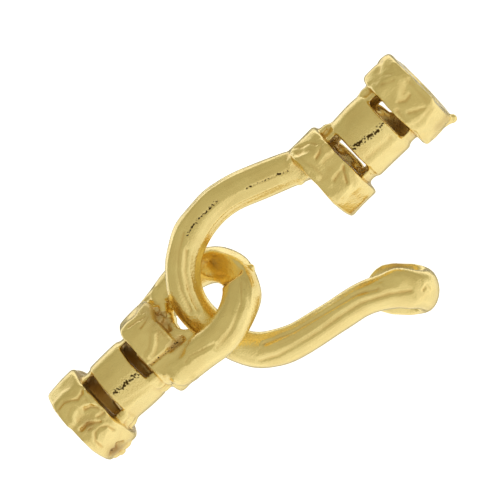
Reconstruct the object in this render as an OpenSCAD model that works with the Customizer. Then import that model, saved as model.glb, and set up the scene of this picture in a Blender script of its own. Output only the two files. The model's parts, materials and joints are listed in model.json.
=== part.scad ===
// Hook and eye clasp for a round cord. A cast hook passes through a cast eye, and both lie on a
// surface. Each half ends in a banded socket that a cord is glued into.

/* [Cord sockets] */
// Diameter of the cord hole
bore_d = 4.3; // [3.2:0.1:4.5]
// Diameter of the bands at both ends of the sockets
band_d = 7.8; // [7.2:0.1:9]
// Diameter of the middle bands
middle_d = 5.9; // [5.6:0.1:6.4]
// Diameter of the rails beside the slots
rail_d = 5.5; // [5.3:0.05:5.7]
// Width of the slots between the bands
slot_w = 1; // [0.7:0.05:1.3]
// Opening of a slot at the front
front_open = 3.9; // [3:0.1:4.2]
// Opening of a slot at the back
back_open = 2.9; // [1.5:0.1:3.4]
// Opening of the outer slot at the back, where the casting closed part of it
outer_back_open = 1.6; // [1:0.1:1.8]
// Rounding of the bands' edges
band_round = 0.45; // [0.2:0.05:0.7]
// Thickness of the wall that closes a socket behind the cord
end_wall = 1.9; // [1.5:0.1:2.4]

/* [Hook half] */
// Length of the base band
hook_base_len = 3.05; // [2.6:0.05:4]
// Length of the middle band
hook_middle_len = 3.55; // [2.5:0.05:5]
// Length of the end band at the mouth
hook_end_len = 3.15; // [2.5:0.05:5]
// Width of the hook's wire, in the plane of the hook
hook_w = 2.95; // [2.5:0.05:3.2]
// Thickness of the hook's wire, through the plane of the hook
hook_t = 2.85; // [2.5:0.05:2.95]
// Reach of the wire's centreline, from the base band to the far side of the bend
hook_reach = 15.05; // [14:0.05:18]
// Distance from the socket's axis to the root of the wire
root_offset = 2.3; // [2:0.1:2.4]
// Width of the flattened end that is curled under the tip
paddle_w = 4.35; // [3.4:0.05:5]
// Thickness of the flattened end
paddle_t = 1.3; // [1:0.1:1.8]
// Length of the flattened end, back under the tip
paddle_len = 3.8; // [2.6:0.1:4.6]

/* [Eye half] */
// Length of the base band
eye_base_len = 3.05; // [2.6:0.05:4]
// Length of the middle band
eye_middle_len = 3.1; // [2.5:0.1:5]
// Length of the end band at the mouth
eye_end_len = 3.2; // [2.5:0.1:5]
// Diameter of the eye's wire
eye_d = 3.1; // [2.6:0.05:3.3]
// Reach of the loop's centreline in front of the base band
loop_reach = 7; // [6.6:0.05:9]
// Clearance between the hook's wire and the eye's, above it and below it
link_gap = 0.2; // [0.1:0.01:0.4]

/* [How the halves lie] */
// Angle that the loop is turned about the eye's axis, out of the surface
loop_roll = 47; // [42:1:55]
// Angle that the eye half's slots are turned away from the top
eye_slot_roll = 12; // [0:1:20]
// Clearance between the hook's bend and the eye's base band
bend_gap = 0.5; // [0.3:0.05:1.6]
// Distance between the two sockets' axes, seen from above
axis_shift = 0.6; // [0:0.1:1.2]

/* [Hidden] */
gold = [0.83, 0.69, 0.36];
fine = 96;
sides = 24;
ring_step = 0.7;
turn_step = 15;
skin = 0.2;
slot_lip = 0.04;

// The hook's wire from its root to the curl: a row for each stretch, with its length as a share of
// hook_reach, its turn to the left in degrees, and, at its end, the climb as a share of the upper
// arm's and the section as shares of hook_w and hook_t.
LENGTH = 0;
TURN = 1;
CLIMB = 2;
WIDTH = 3;
THICKNESS = 4;
hook_stretches = [
    [0.335, -1, 1, 1.03, 1],
    [0.305, 32, 1, 1, 1],
    [0.205, 22, 0, 1, 1],
    [0.25, 40, -0.8, 0.98, 0.96],
    [0.18, 24, -0.8, 0.98, 0.96],
    [0.16, 8, 0, 0.98, 0.96],
    [0.25, 46, 0, 0.98, 1],
    [0.145, 19, -0.8, 1, 1],
    [0.345, 0, -0.8, 0.97, 1],
    [0.28, -33, -0.8, 1.06, 1],
    [0.04, -2, 0, 1.12, 0.95],
];
root_heading = 159;
root_depth = 1.5;
over_rise = 0.3;
curl_section = [1.2, 0.75];

// The loop's sides draw together towards the base band at this angle.
loop_taper = 12;

function total(list, i = 0) = i < len(list) ? list[i] + total(list, i + 1) : 0;

// Small steps along a route. A row is [length, turn, end pitch, end width, end thickness], and
// `first` holds the pitch, width and thickness that the first row starts from.
function steps(rows, first) = [
    for (i = [0 : len(rows) - 1])
        let (
            row = rows[i],
            before = i == 0 ? first : [rows[i - 1][2], rows[i - 1][3], rows[i - 1][4]],
            count = max(ceil(row[0] / ring_step), ceil(abs(row[1]) / turn_step),
                        ceil(abs(row[2] - before[0]) / turn_step))
        )
        for (j = [1 : count])
            [row[0] / count, row[1] / count, (row[2] - before[0]) / count,
             (row[3] - before[1]) / count, (row[4] - before[2]) / count],
];

// A place on a wire: [point, heading, pitch, width, thickness]. The next one lies a step further.
function next_place(place, step) =
    let (
        heading = place[1] + step[1] / 2,
        pitch = place[2] + step[2] / 2
    )
    [
        place[0] + step[0] * [cos(heading) * cos(pitch), sin(heading) * cos(pitch), sin(pitch)],
        place[1] + step[1],
        place[2] + step[2],
        place[3] + step[3],
        place[4] + step[4],
    ];
function route(start, rows) =
    let (all_steps = steps(rows, [start[2], start[3], start[4]]))
    [for (i = 0, place = start;
          i <= len(all_steps);
          place = i < len(all_steps) ? next_place(place, all_steps[i]) : place, i = i + 1) place];

// The oval section of a wire at one place, as points in space.
function section(place) =
    let (
        side = [-sin(place[1]), cos(place[1]), 0],
        up = [-cos(place[1]) * sin(place[2]), -sin(place[1]) * sin(place[2]), cos(place[2])]
    )
    [for (k = [0 : sides - 1])
        place[0] + side * cos(k * 360 / sides) * place[3] / 2 + up * sin(k * 360 / sides) * place[4] / 2];
function wire_points(places) = [for (place = places) each section(place)];

module wire(places) {
    last = (len(places) - 1) * sides;
    polyhedron(
        points = wire_points(places),
        faces = concat(
            [[for (k = [0 : sides - 1]) k]],
            [for (i = [0 : len(places) - 2], k = [0 : sides - 1])
                let (a = i * sides + k, b = i * sides + (k + 1) % sides)
                each [[a, a + sides, b], [b, a + sides, b + sides]]],
            [[for (k = [0 : sides - 1]) last + sides - 1 - k]]
        ),
        convexity = 8
    );
}

// The length of a socket, from its base band's face to its mouth.
function socket_len(base_len, middle_len, end_len) = base_len + middle_len + end_len + 2 * slot_w;
hook_socket_len = socket_len(hook_base_len, hook_middle_len, hook_end_len);
eye_socket_len = socket_len(eye_base_len, eye_middle_len, eye_end_len);
band_r = band_d / 2;

// The loop lies with its lower side on the surface and the mouth of its socket on it too. The hook's
// wire passes between the loop's two sides with link_gap above and below it.
link_thickness = hook_stretches[4][THICKNESS] * hook_t;
loop_half_w = (eye_d / 2 + link_thickness / 2 + link_gap) / sin(loop_roll);
loop_centre = loop_reach - loop_half_w;
loop_drop = loop_half_w * sin(loop_roll) + eye_d / 2;
eye_tilt = atan((loop_drop - band_r) / (loop_centre + eye_socket_len));
eye_x = -(hook_reach + hook_w / 2 + bend_gap);
eye_z = band_r * cos(eye_tilt) + eye_socket_len * sin(eye_tilt);
link_z = eye_z + (hook_w / 2 + bend_gap) * sin(eye_tilt);

// The hook's upper arm climbs from its socket's axis to the height of the link, and a little more
// where it passes over the loop's low side.
climb_run = hook_reach * total([for (i = [0 : len(hook_stretches) - 1])
    let (before = i == 0 ? 0 : hook_stretches[i - 1][CLIMB], after = hook_stretches[i][CLIMB])
    after < 0 || before < 0 ? 0 : hook_stretches[i][LENGTH] * (before + after) / 2]);
climb = asin((link_z + over_rise - band_r) / climb_run);
root_rows = [[root_depth / -cos(root_heading), 0, 0, hook_w, hook_t]];
arm_rows = concat(root_rows, [for (row = hook_stretches)
    [row[LENGTH] * hook_reach, row[TURN], row[CLIMB] * climb, row[WIDTH] * hook_w, row[THICKNESS] * hook_t]]);
root_place = [[root_depth, root_offset + root_depth * tan(root_heading), band_r],
              root_heading, 0, hook_w, hook_t];
arm_places = route(root_place, arm_rows);
tip_place = arm_places[len(arm_places) - 1];

// The tip curls down and back, so that the flattened end lies on the surface under the wire.
curl_r = (tip_place[0][2] - paddle_t / 2) / 2;
quarter_curl = curl_r * PI / 2;
end_angles = [0, 25, 45, 62, 76];
curl_rows = concat(
    [
        [quarter_curl, 0, -90, curl_section[0] * hook_w, curl_section[1] * hook_t],
        [quarter_curl, 0, -180, paddle_w, paddle_t],
        [paddle_len - paddle_w / 2, 0, -180, paddle_w, paddle_t],
    ],
    [for (i = [1 : len(end_angles) - 1])
        [(sin(end_angles[i]) - sin(end_angles[i - 1])) * paddle_w / 2, 0, -180,
         paddle_w * cos(end_angles[i]), paddle_t * sqrt(cos(end_angles[i]))]]
);
curl_places = route(tip_place, curl_rows);
hook_places = concat(arm_places, [for (i = [1 : len(curl_places) - 1]) curl_places[i]]);

// Each side of the loop runs on straight into the base band, and ends in a round under its skin.
eye_root_depth = eye_base_len - eye_d / 2 - skin;
taper_run = (eye_root_depth + loop_centre - loop_half_w * sin(loop_taper)) / cos(loop_taper);

// The origin is the middle of the whole clasp's box, on the surface.
hook_ys = [for (point = wire_points(hook_places)) point[1]];
origin = [
    (hook_socket_len + eye_x - eye_socket_len * cos(eye_tilt) - band_r * sin(eye_tilt)) / 2,
    (min(hook_ys) + max(hook_ys)) / 2,
    0,
];

module band(from, length) {
    r = band_round;
    translate([0, from + r]) square([band_r, length - 2 * r]);
    translate([0, from]) square([band_r - r, length]);
    translate([band_r - r, from + r]) circle(r, $fn = fine);
    translate([band_r - r, from + length - r]) circle(r, $fn = fine);
}

// A socket with its base band's face at x = 0 and its mouth towards +x, with whatever the children
// add to it before the cord hole and the slots are cut.
module socket(base_len, middle_len, end_len, slot_roll) {
    length = socket_len(base_len, middle_len, end_len);
    core_len = length - base_len - end_len + 2 * band_round;
    slots = [
        [base_len, back_open],
        [base_len + slot_w + middle_len, outer_back_open],
    ];
    difference() {
        union() {
            rotate([0, 90, 0]) rotate_extrude($fn = fine) {
                band(0, base_len);
                translate([0, base_len + slot_w]) square([middle_d / 2, middle_len]);
                band(length - end_len, end_len);
                translate([0, base_len - band_round]) square([rail_d / 2, core_len]);
            }
            children();
        }
        translate([end_wall, 0, 0]) rotate([0, 90, 0]) cylinder(h = length, r = bore_d / 2, $fn = fine);
        rotate([slot_roll, 0, 0]) for (slot = slots) {
            translate([slot[0] + slot_lip, -front_open / 2, 0])
                cube([slot_w - 2 * slot_lip, front_open, band_d]);
            translate([slot[0] + slot_lip, back_open / 2 - slot[1], -band_d])
                cube([slot_w - 2 * slot_lip, slot[1], band_d]);
        }
    }
}

module hook_half() {
    color(gold) translate(-origin) {
        translate([0, 0, band_r]) socket(hook_base_len, hook_middle_len, hook_end_len, 0)
            translate([0, 0, -band_r]) wire(hook_places);
    }
}

module loop() {
    translate([-loop_centre, 0, 0]) {
        rotate([0, 0, 90 - loop_taper]) rotate_extrude(angle = 180 + 2 * loop_taper, $fn = fine)
            translate([loop_half_w, 0]) circle(d = eye_d, $fn = fine);
        for (side = [-1, 1])
            translate([loop_half_w * sin(loop_taper), side * loop_half_w * cos(loop_taper), 0])
                rotate([0, 90, -side * loop_taper]) {
                    cylinder(h = taper_run, d = eye_d, $fn = fine);
                    translate([0, 0, taper_run]) sphere(d = eye_d, $fn = fine);
                }
    }
}

module eye_half() {
    color(gold) translate([eye_x, -axis_shift, eye_z] - origin)
        rotate([0, 0, 180]) rotate([0, eye_tilt, 0])
            socket(eye_base_len, eye_middle_len, eye_end_len, eye_slot_roll)
                rotate([loop_roll, 0, 0]) loop();
}

hook_half();
eye_half();
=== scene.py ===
"""The looks of a cast hook and eye clasp, gold plated and lightly hammered, lying hooked together."""

import json
import math

import bmesh
import bpy
import numpy as np
from mathutils import Matrix, Vector


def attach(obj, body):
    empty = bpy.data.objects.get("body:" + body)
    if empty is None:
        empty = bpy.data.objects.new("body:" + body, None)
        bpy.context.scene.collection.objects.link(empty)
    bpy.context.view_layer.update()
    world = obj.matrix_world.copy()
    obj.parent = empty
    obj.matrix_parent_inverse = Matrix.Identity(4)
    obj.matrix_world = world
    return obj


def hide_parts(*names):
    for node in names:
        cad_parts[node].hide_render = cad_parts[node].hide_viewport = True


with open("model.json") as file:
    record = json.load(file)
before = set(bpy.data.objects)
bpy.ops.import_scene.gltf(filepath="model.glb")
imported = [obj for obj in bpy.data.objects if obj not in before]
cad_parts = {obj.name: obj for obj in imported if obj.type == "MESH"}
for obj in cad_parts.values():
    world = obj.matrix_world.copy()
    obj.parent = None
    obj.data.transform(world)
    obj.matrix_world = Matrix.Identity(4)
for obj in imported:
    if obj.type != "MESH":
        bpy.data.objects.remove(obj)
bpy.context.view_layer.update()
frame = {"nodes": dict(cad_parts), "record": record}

MM = 0.001

# Camera: it looks down on the clasp from just off the vertical, on the hook half's side.
VIEW_CENTRE = Vector((0.52, 3.92, 3.9)) * MM
VIEW_DISTANCE = 400 * MM
LEAN_TO_HOOK = math.radians(5.1)
LEAN_TO_FRONT = math.radians(2.4)
PICTURE_TURN = math.radians(43.85)
FIELD_OF_VIEW = 41.26 * MM
SENSOR_WIDTH = 36


def make_camera():
    """The camera, and the direction from the clasp to it."""
    lean = Vector((math.tan(LEAN_TO_HOOK), -math.tan(LEAN_TO_FRONT), 1)).normalized()
    data = bpy.data.cameras.new("camera")
    data.sensor_width = SENSOR_WIDTH
    data.lens = SENSOR_WIDTH * VIEW_DISTANCE / FIELD_OF_VIEW
    data.clip_start = 10 * MM
    data.clip_end = 10
    camera = bpy.data.objects.new("camera", data)
    bpy.context.scene.collection.objects.link(camera)
    right = Vector((math.cos(PICTURE_TURN), -math.sin(PICTURE_TURN), 0))
    right = (right - lean * right.dot(lean)).normalized()
    up = lean.cross(right)
    place = Matrix((right, up, lean)).transposed().to_4x4()
    place.translation = VIEW_CENTRE + lean * VIEW_DISTANCE
    camera.matrix_world = place
    bpy.context.scene.camera = camera
    return lean


# Colours and nodes
# A Mix node's sockets by number, because they share their names: two plain numbers, two colours, and
# the colour that comes out.
NUMBER_A, NUMBER_B = 2, 3
COLOUR_A, COLOUR_B = 6, 7
MIXED_COLOUR = 2


def linear(hex_colour):
    """A #RRGGBB sRGB colour as linear RGBA."""
    parts = [int(hex_colour[i:i + 2], 16) / 255 for i in (1, 3, 5)]
    return (*[p / 12.92 if p <= 0.04045 else ((p + 0.055) / 1.055) ** 2.4 for p in parts], 1)


def add_node(tree, kind, links=None, values=None, **settings):
    """Adds a node with its settings, its sockets' values and its links. A link is (node, output)."""
    node = tree.nodes.new(kind)
    for name, value in settings.items():
        setattr(node, name, value)
    for socket, value in (values or {}).items():
        node.inputs[socket].default_value = value
    for socket, (source, output) in (links or {}).items():
        tree.links.new(source.outputs[output], node.inputs[socket])
    return node


def span(low, high, to_low=0, to_high=1):
    """A Map Range node's ends, by its sockets' numbers, because it has two of each name."""
    return {1: low, 2: high, 3: to_low, 4: to_high}


# Light and floor
# The tent's brightness, as (height of the direction, brightness): -1 is straight down and 1 straight
# up. The front is brightly lit. The back is shaded, and under the clasp both fall off into its shadow.
TENT_FRONT = [(-1, 0.85), (-0.97, 0.8), (-0.92, 0.4), (-0.8, 0.95), (-0.45, 0.98), (-0.1, 1.05),
              (0.15, 1.02), (0.4, 0.9), (0.6, 0.84), (1, 0.82)]
TENT_BACK = [(-1, 0.95), (-0.97, 0.9), (-0.94, 0.15), (-0.86, 0.2), (-0.79, 1.2), (-0.56, 1.15),
             (-0.4, 0.56), (-0.15, 0.46), (0.2, 0.52), (0.6, 0.54), (1, 0.58)]
# The front gives way to the back where a direction's y lies between these.
FRONT_EDGE = (-0.3, 0.0)
FOLDS = {"Scale": 3.2, "Detail": 3, "Roughness": 0.6}
FOLD_RANGE = (0.32, 0.68)
FOLD_LEVELS = (0.8, 1.14)
# Where the cloth is dim, it is lit by what the gold itself throws back.
DIM_CLOTH = "#FFF8D2"
DIM_TO_BRIGHT = (0.4, 0.95)
# The lens looks in through a dark hole, whose edge is soft between these two angles.
LENS_HOLE_DEGREES = (1.2, 2.2)
LENS_HOLE_LEVEL = 0.1
WHITE = "#FFFFFF"
CARD = "#E6E6E6"
CARD_GLOW = 0.9
FLOOR_HALF = 1.0


def brightness_by_height(tree, parts, stops):
    """A node that gives a direction's brightness, in straight lines from stop to stop."""
    share = add_node(tree, "ShaderNodeMapRange", {0: (parts, "Z")}, span(-1, 1))
    ramp = add_node(tree, "ShaderNodeFloatCurve", {"Value": (share, 0)}, {"Factor": 1})
    curve = ramp.mapping.curves[0]
    top = max(level for height, level in stops)
    for height, level in stops[1:-1]:
        curve.points.new((height + 1) / 2, level / top)
    curve.points[0].location = (0, stops[0][1] / top)
    curve.points[len(stops) - 1].location = (1, stops[-1][1] / top)
    for point in curve.points:
        point.handle_type = "VECTOR"
    ramp.mapping.update()
    return add_node(tree, "ShaderNodeMath", {0: (ramp, 0)}, {1: top}, operation="MULTIPLY")


def make_tent(towards_camera):
    """A white light tent: brighter at the front, shaded at the back, uneven where its cloth folds."""
    world = bpy.data.worlds.new("light_tent")
    bpy.context.scene.world = world
    world.use_nodes = True
    tree = world.node_tree
    tree.nodes.clear()
    direction = add_node(tree, "ShaderNodeTexCoord")
    parts = add_node(tree, "ShaderNodeSeparateXYZ", {0: (direction, "Generated")})
    back = add_node(tree, "ShaderNodeMapRange", {0: (parts, "Y")}, span(*FRONT_EDGE),
                    interpolation_type="SMOOTHSTEP")
    walls = add_node(tree, "ShaderNodeMix", {
        "Factor": (back, 0),
        NUMBER_A: (brightness_by_height(tree, parts, TENT_FRONT), 0),
        NUMBER_B: (brightness_by_height(tree, parts, TENT_BACK), 0),
    })
    to_lens = add_node(tree, "ShaderNodeVectorMath", {0: (direction, "Generated")},
                       {1: towards_camera}, operation="DOT_PRODUCT")
    inner, outer = (math.cos(math.radians(degrees)) for degrees in LENS_HOLE_DEGREES)
    hole = add_node(tree, "ShaderNodeMapRange", {0: (to_lens, "Value")},
                    span(outer, inner, 1, LENS_HOLE_LEVEL))
    folds = add_node(tree, "ShaderNodeTexNoise", {"Vector": (direction, "Generated")}, FOLDS)
    uneven = add_node(tree, "ShaderNodeMapRange", {0: (folds, 0)}, span(*FOLD_RANGE, *FOLD_LEVELS))
    cloth = add_node(tree, "ShaderNodeMath", {0: (walls, 0), 1: (uneven, 0)}, operation="MULTIPLY")
    strength = add_node(tree, "ShaderNodeMath", {0: (cloth, 0), 1: (hole, 0)}, operation="MULTIPLY")
    lit = add_node(tree, "ShaderNodeMapRange", {0: (cloth, 0)}, span(*DIM_TO_BRIGHT))
    tint = add_node(tree, "ShaderNodeMix", {"Factor": (lit, 0)},
                    {COLOUR_A: linear(DIM_CLOTH), COLOUR_B: linear(WHITE)}, data_type="RGBA")
    light = add_node(tree, "ShaderNodeBackground",
                     {"Strength": (strength, 0), "Color": (tint, MIXED_COLOUR)})
    add_node(tree, "ShaderNodeOutputWorld", {"Surface": (light, 0)})


def make_floor():
    """A white card under the clasp. The metal mirrors the tent's lower half in its place."""
    mesh = bpy.data.meshes.new("floor")
    corners = [(x * FLOOR_HALF, y * FLOOR_HALF, 0) for x, y in ((-1, -1), (1, -1), (1, 1), (-1, 1))]
    mesh.from_pydata(corners, [], [(0, 1, 2, 3)])
    floor = bpy.data.objects.new("floor", mesh)
    bpy.context.scene.collection.objects.link(floor)
    floor.visible_glossy = False
    # White card, matt, lit from above and glowing a little: it gives the eye a plain white ground.
    card = bpy.data.materials.new("white_card")
    card.use_nodes = True
    tree = card.node_tree
    shader = tree.nodes["Principled BSDF"]
    shader.inputs["Base Color"].default_value = linear(CARD)
    shader.inputs["Roughness"].default_value = 1
    shader.inputs["Specular IOR Level"].default_value = 0
    shader.inputs["Emission Color"].default_value = linear(WHITE)
    shader.inputs["Emission Strength"].default_value = CARD_GLOW
    mesh.materials.append(card)


# Gold plate: the widths of its patterns and the heights of its relief are in millimetres.
PLATE = "#FBE59C"
# Darker, redder tone: painted shade in hollows and creases, and the tone of random patches.
PLATE_PATCHES_AND_HOLLOW_SHADE = "#DDB468"
# Brown: painted shade in bores, crevices, folds and the curled end.
SHADE_AND_TARNISH_BROWN = "#96683C"
# Dark brown: real pits on rough crests, and painted shade along grooves and cracks.
PIT_AND_SHADE_BROWN = "#4A3614"
# Thirteen patches lie along 20 mm, and thirteen grains along 2 mm.
PATCH_WIDTH = 20 / 13
GRAIN_WIDTH = 2 / 13
GRAIN_HEIGHT = 0.07
PIT_LENGTH = 0.2
RUB_WIDTH = 0.625
PEEL_WIDTH = 0.5
PEEL_HEIGHT = 0.017
# How far the random patches go towards the darker, redder tone that paints shade in the hollows.
PATCH_TONE = 0.22
# How much more likely a dark pit is along the dark lines, which are real pits on rough crests and painted
# shade in grooves and cracks, and from where on it shows.
PITS_ALONG_DARK_LINES = 0.34
PIT_EDGE = (0.73, 0.83)
ROUGHNESS = (0.13, 0.22)
ROUGHER_WHERE_PITTED = 0.12
ROUGHER_WHERE_SHADE_AND_TARNISH = 0.25
# What a casting's skin carries at each of its points, as shares from 0 to 1. The hollow, tarnish and scored
# shares also darken the colour as painted shade: in hollows, in bores and crevices, and along grooves and
# cracks.
SHARES = ("hollow_shade", "pitted", "shade_and_tarnish", "pit_and_shade_share")


def plate_colour(tree, in_mm, shares):
    """Redder in random patches and darker in hollows as painted shade, browner as painted shade in bores and
    crevices, and with dark pits, partly painted shade.
    """
    patches = add_node(tree, "ShaderNodeTexNoise", {"Vector": (in_mm, 0)},
                       {"Scale": 1 / PATCH_WIDTH, "Detail": 3})
    patch_share = add_node(tree, "ShaderNodeMapRange", {0: (patches, 0)}, span(0.35, 0.75, 0, PATCH_TONE))
    # Painted shade: hollows and creases are tinted towards the darker, redder tone.
    tone = add_node(tree, "ShaderNodeMath", {0: (shares["hollow_shade"], "Fac"), 1: (patch_share, 0)},
                    operation="ADD", use_clamp=True)
    colour = add_node(tree, "ShaderNodeMix", {"Factor": (tone, 0)},
                      {COLOUR_A: linear(PLATE), COLOUR_B: linear(PLATE_PATCHES_AND_HOLLOW_SHADE)}, data_type="RGBA")
    # Painted shade: bores, crevices, folds and the curled end are darkened towards brown.
    shaded_and_tarnished = add_node(tree, "ShaderNodeMix",
                      {"Factor": (shares["shade_and_tarnish"], "Fac"), COLOUR_A: (colour, MIXED_COLOUR)},
                      {COLOUR_B: linear(SHADE_AND_TARNISH_BROWN)}, data_type="RGBA")
    # Dark pits lie close together along the dark lines and thin out around them: real pits on the rough
    # crests, painted shade in grooves, cracks and slot lips, and a painted reflection of the lens along the
    # wire's crest.
    specks = add_node(tree, "ShaderNodeTexNoise", {"Vector": (in_mm, 0)},
                      {"Scale": 1 / PIT_LENGTH, "Detail": 3})
    likely = add_node(tree, "ShaderNodeMath", {0: (shares["pit_and_shade_share"], "Fac"), 2: (specks, 0)},
                      {1: PITS_ALONG_DARK_LINES}, operation="MULTIPLY_ADD")
    speck = add_node(tree, "ShaderNodeMapRange", {0: (likely, 0)}, span(*PIT_EDGE))
    return add_node(tree, "ShaderNodeMix", {"Factor": (speck, 0), COLOUR_A: (shaded_and_tarnished, MIXED_COLOUR)},
                    {COLOUR_B: linear(PIT_AND_SHADE_BROWN)}, data_type="RGBA")


def plate_roughness(tree, in_mm, shares):
    """Finely rubbed, and duller where pitted and where the colour is darkened as painted shade."""
    rubs = add_node(tree, "ShaderNodeTexNoise", {"Vector": (in_mm, 0)},
                    {"Scale": 1 / RUB_WIDTH, "Detail": 4})
    rubbed = add_node(tree, "ShaderNodeMapRange", {0: (rubs, 0)}, span(0.3, 0.7, *ROUGHNESS))
    dull = add_node(tree, "ShaderNodeMath", {0: (shares["pitted"], "Fac"), 2: (rubbed, 0)},
                    {1: ROUGHER_WHERE_PITTED}, operation="MULTIPLY_ADD")
    return add_node(tree, "ShaderNodeMath", {0: (shares["shade_and_tarnish"], "Fac"), 2: (dull, 0)},
                    {1: ROUGHER_WHERE_SHADE_AND_TARNISH}, operation="MULTIPLY_ADD")


def plate_relief(tree, in_mm, shares):
    """An orange peel all over, and a grain where pitted."""
    peel = add_node(tree, "ShaderNodeTexNoise", {"Vector": (in_mm, 0)},
                    {"Scale": 1 / PEEL_WIDTH, "Detail": 2})
    peel_bump = add_node(tree, "ShaderNodeBump", {"Height": (peel, 0)},
                         {"Strength": 1, "Distance": PEEL_HEIGHT * MM})
    grain = add_node(tree, "ShaderNodeTexNoise", {"Vector": (in_mm, 0)},
                     {"Scale": 1 / GRAIN_WIDTH, "Detail": 2})
    grain_share = add_node(tree, "ShaderNodeMath", {0: (grain, 0), 1: (shares["pitted"], "Fac")},
                           operation="MULTIPLY")
    return add_node(tree, "ShaderNodeBump", {"Height": (grain_share, 0), "Normal": (peel_bump, 0)},
                    {"Strength": 1, "Distance": GRAIN_HEIGHT * MM})


def gold_plate():
    """Gold plate over cast metal, softly polished.

    The eye sees a warm, bright mirror whose skin is never quite even: an orange-peel ripple left by the
    mould, a rough grain where the casting is pitted, and a redder tone in random patches. Its hollows,
    bores and crevices are darkened in colour as painted shade.
    """
    material = bpy.data.materials.new("cast_gold_plate")
    material.use_nodes = True
    tree = material.node_tree
    shader = tree.nodes["Principled BSDF"]
    shader.inputs["Metallic"].default_value = 1
    place = add_node(tree, "ShaderNodeTexCoord")
    in_mm = add_node(tree, "ShaderNodeMapping", {"Vector": (place, "Object")}, {"Scale": (1 / MM,) * 3})
    shares = {name: add_node(tree, "ShaderNodeAttribute", attribute_name=name) for name in SHARES}
    colour = plate_colour(tree, in_mm, shares)
    roughness = plate_roughness(tree, in_mm, shares)
    relief = plate_relief(tree, in_mm, shares)
    tree.links.new(colour.outputs[MIXED_COLOUR], shader.inputs["Base Color"])
    tree.links.new(roughness.outputs[0], shader.inputs["Roughness"])
    tree.links.new(relief.outputs[0], shader.inputs["Normal"])
    return material


# Shaping a casting, in millimetres
VOXEL = 0.105
# The hook half's last skin is a little coarser, because the half is larger.
HOOK_VOXEL = 0.112
UP = np.array([0.0, 0.0, 1.0])
# How far each round of smoothing moves a point towards the middle of its neighbours.
SMOOTH_STEP = 0.6
# A filed flat's edge is this soft, and the file takes only skin that faces it by at least this much.
FILED_EDGE = 0.06
FILED_FACING = 0.3
# Marks fade out where the skin turns over to the side, below this height of its normal.
MARKS_FADE = 0.3
# The burr beside a crease: its height in crease depths, and its distance and width in crease widths.
BURR_HEIGHT = 0.12
BURR_AWAY = 1.9
BURR_WIDTH = 0.8
# Patches are laid around points picked at random, and blend over this share of their spacing.
PATCH_PICKS = 1500
PATCH_BLEND = 0.24
# A wire's flutes: how often its middle line is measured and over how many of these steps to each side
# it is evened out, how far from the line its skin lies, and how far from its ends the flutes fade in.
LINE_STEP = 0.25
LINE_EVEN = 4
WIRE_SKIN = (0.6, 2.2)
FLUTE_FADE = 1.5
RIPPLE_WAVES = 28
# A hollow is what this many rounds of smoothing would fill up, and counts in full at this depth; its colour
# is darkened there as painted shade.
HOLLOW_ROUNDS = 10
HOLLOW_DEPTH = 0.09


def voxel_mesh(mesh, size=VOXEL):
    """An even skin of small faces over everything in a mesh, joined where its parts run into each other."""
    blank = bpy.data.objects.new("blank", mesh)
    bpy.context.scene.collection.objects.link(blank)
    remesh = blank.modifiers.new("voxels", "REMESH")
    remesh.mode = "VOXEL"
    remesh.voxel_size = size
    graph = bpy.context.evaluated_depsgraph_get()
    even = bpy.data.meshes.new_from_object(blank.evaluated_get(graph))
    bpy.data.objects.remove(blank)
    return even


def node_form(node_name):
    """A CAD node's shape in millimetres, with its loose triangles joined."""
    form = bmesh.new()
    form.from_mesh(frame["nodes"][node_name].data)
    bmesh.ops.remove_doubles(form, verts=form.verts, dist=1e-6)
    bmesh.ops.scale(form, vec=(1 / MM,) * 3, verts=form.verts)
    mesh = bpy.data.meshes.new(node_name + "_form")
    form.to_mesh(mesh)
    form.free()
    return mesh


def make_grain_tree():
    """Rounded grains on the skin around a centre, thinning out to nothing at the reach."""
    tree = bpy.data.node_groups.new("casting_grains", "GeometryNodeTree")
    for name, kind in (("Casting", "Geometry"), ("Centre", "Vector"), ("Reach", "Float"),
                       ("Density", "Float"), ("Grain radius", "Float"), ("Seed", "Int"),
                       ("Finish", "Material")):
        tree.interface.new_socket(name, in_out="INPUT", socket_type="NodeSocket" + kind)
    tree.interface.new_socket("Grains", in_out="OUTPUT", socket_type="NodeSocketGeometry")
    given = add_node(tree, "NodeGroupInput")
    place = add_node(tree, "GeometryNodeInputPosition")
    away = add_node(tree, "ShaderNodeVectorMath", {0: (place, 0), 1: (given, "Centre")},
                    operation="DISTANCE")
    density = add_node(tree, "ShaderNodeMapRange",
                       {0: (away, "Value"), 2: (given, "Reach"), 3: (given, "Density")}, {1: 0, 4: 0})
    spread = add_node(tree, "GeometryNodeDistributePointsOnFaces",
                      {"Mesh": (given, "Casting"), "Density": (density, 0), "Seed": (given, "Seed")})
    grain = add_node(tree, "GeometryNodeMeshIcoSphere", {"Radius": (given, "Grain radius")},
                     {"Subdivisions": 2})
    size = add_node(tree, "FunctionNodeRandomValue", {"Seed": (given, "Seed")}, {2: 0.5, 3: 1.5},
                    data_type="FLOAT")
    placed = add_node(tree, "GeometryNodeInstanceOnPoints",
                      {"Points": (spread, "Points"), "Instance": (grain, "Mesh"), "Scale": (size, 1)})
    real = add_node(tree, "GeometryNodeRealizeInstances", {0: (placed, 0)})
    finished = add_node(tree, "GeometryNodeSetMaterial",
                        {"Geometry": (real, 0), "Material": (given, "Finish")})
    add_node(tree, "NodeGroupOutput", {0: (finished, 0)})
    return tree


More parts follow.
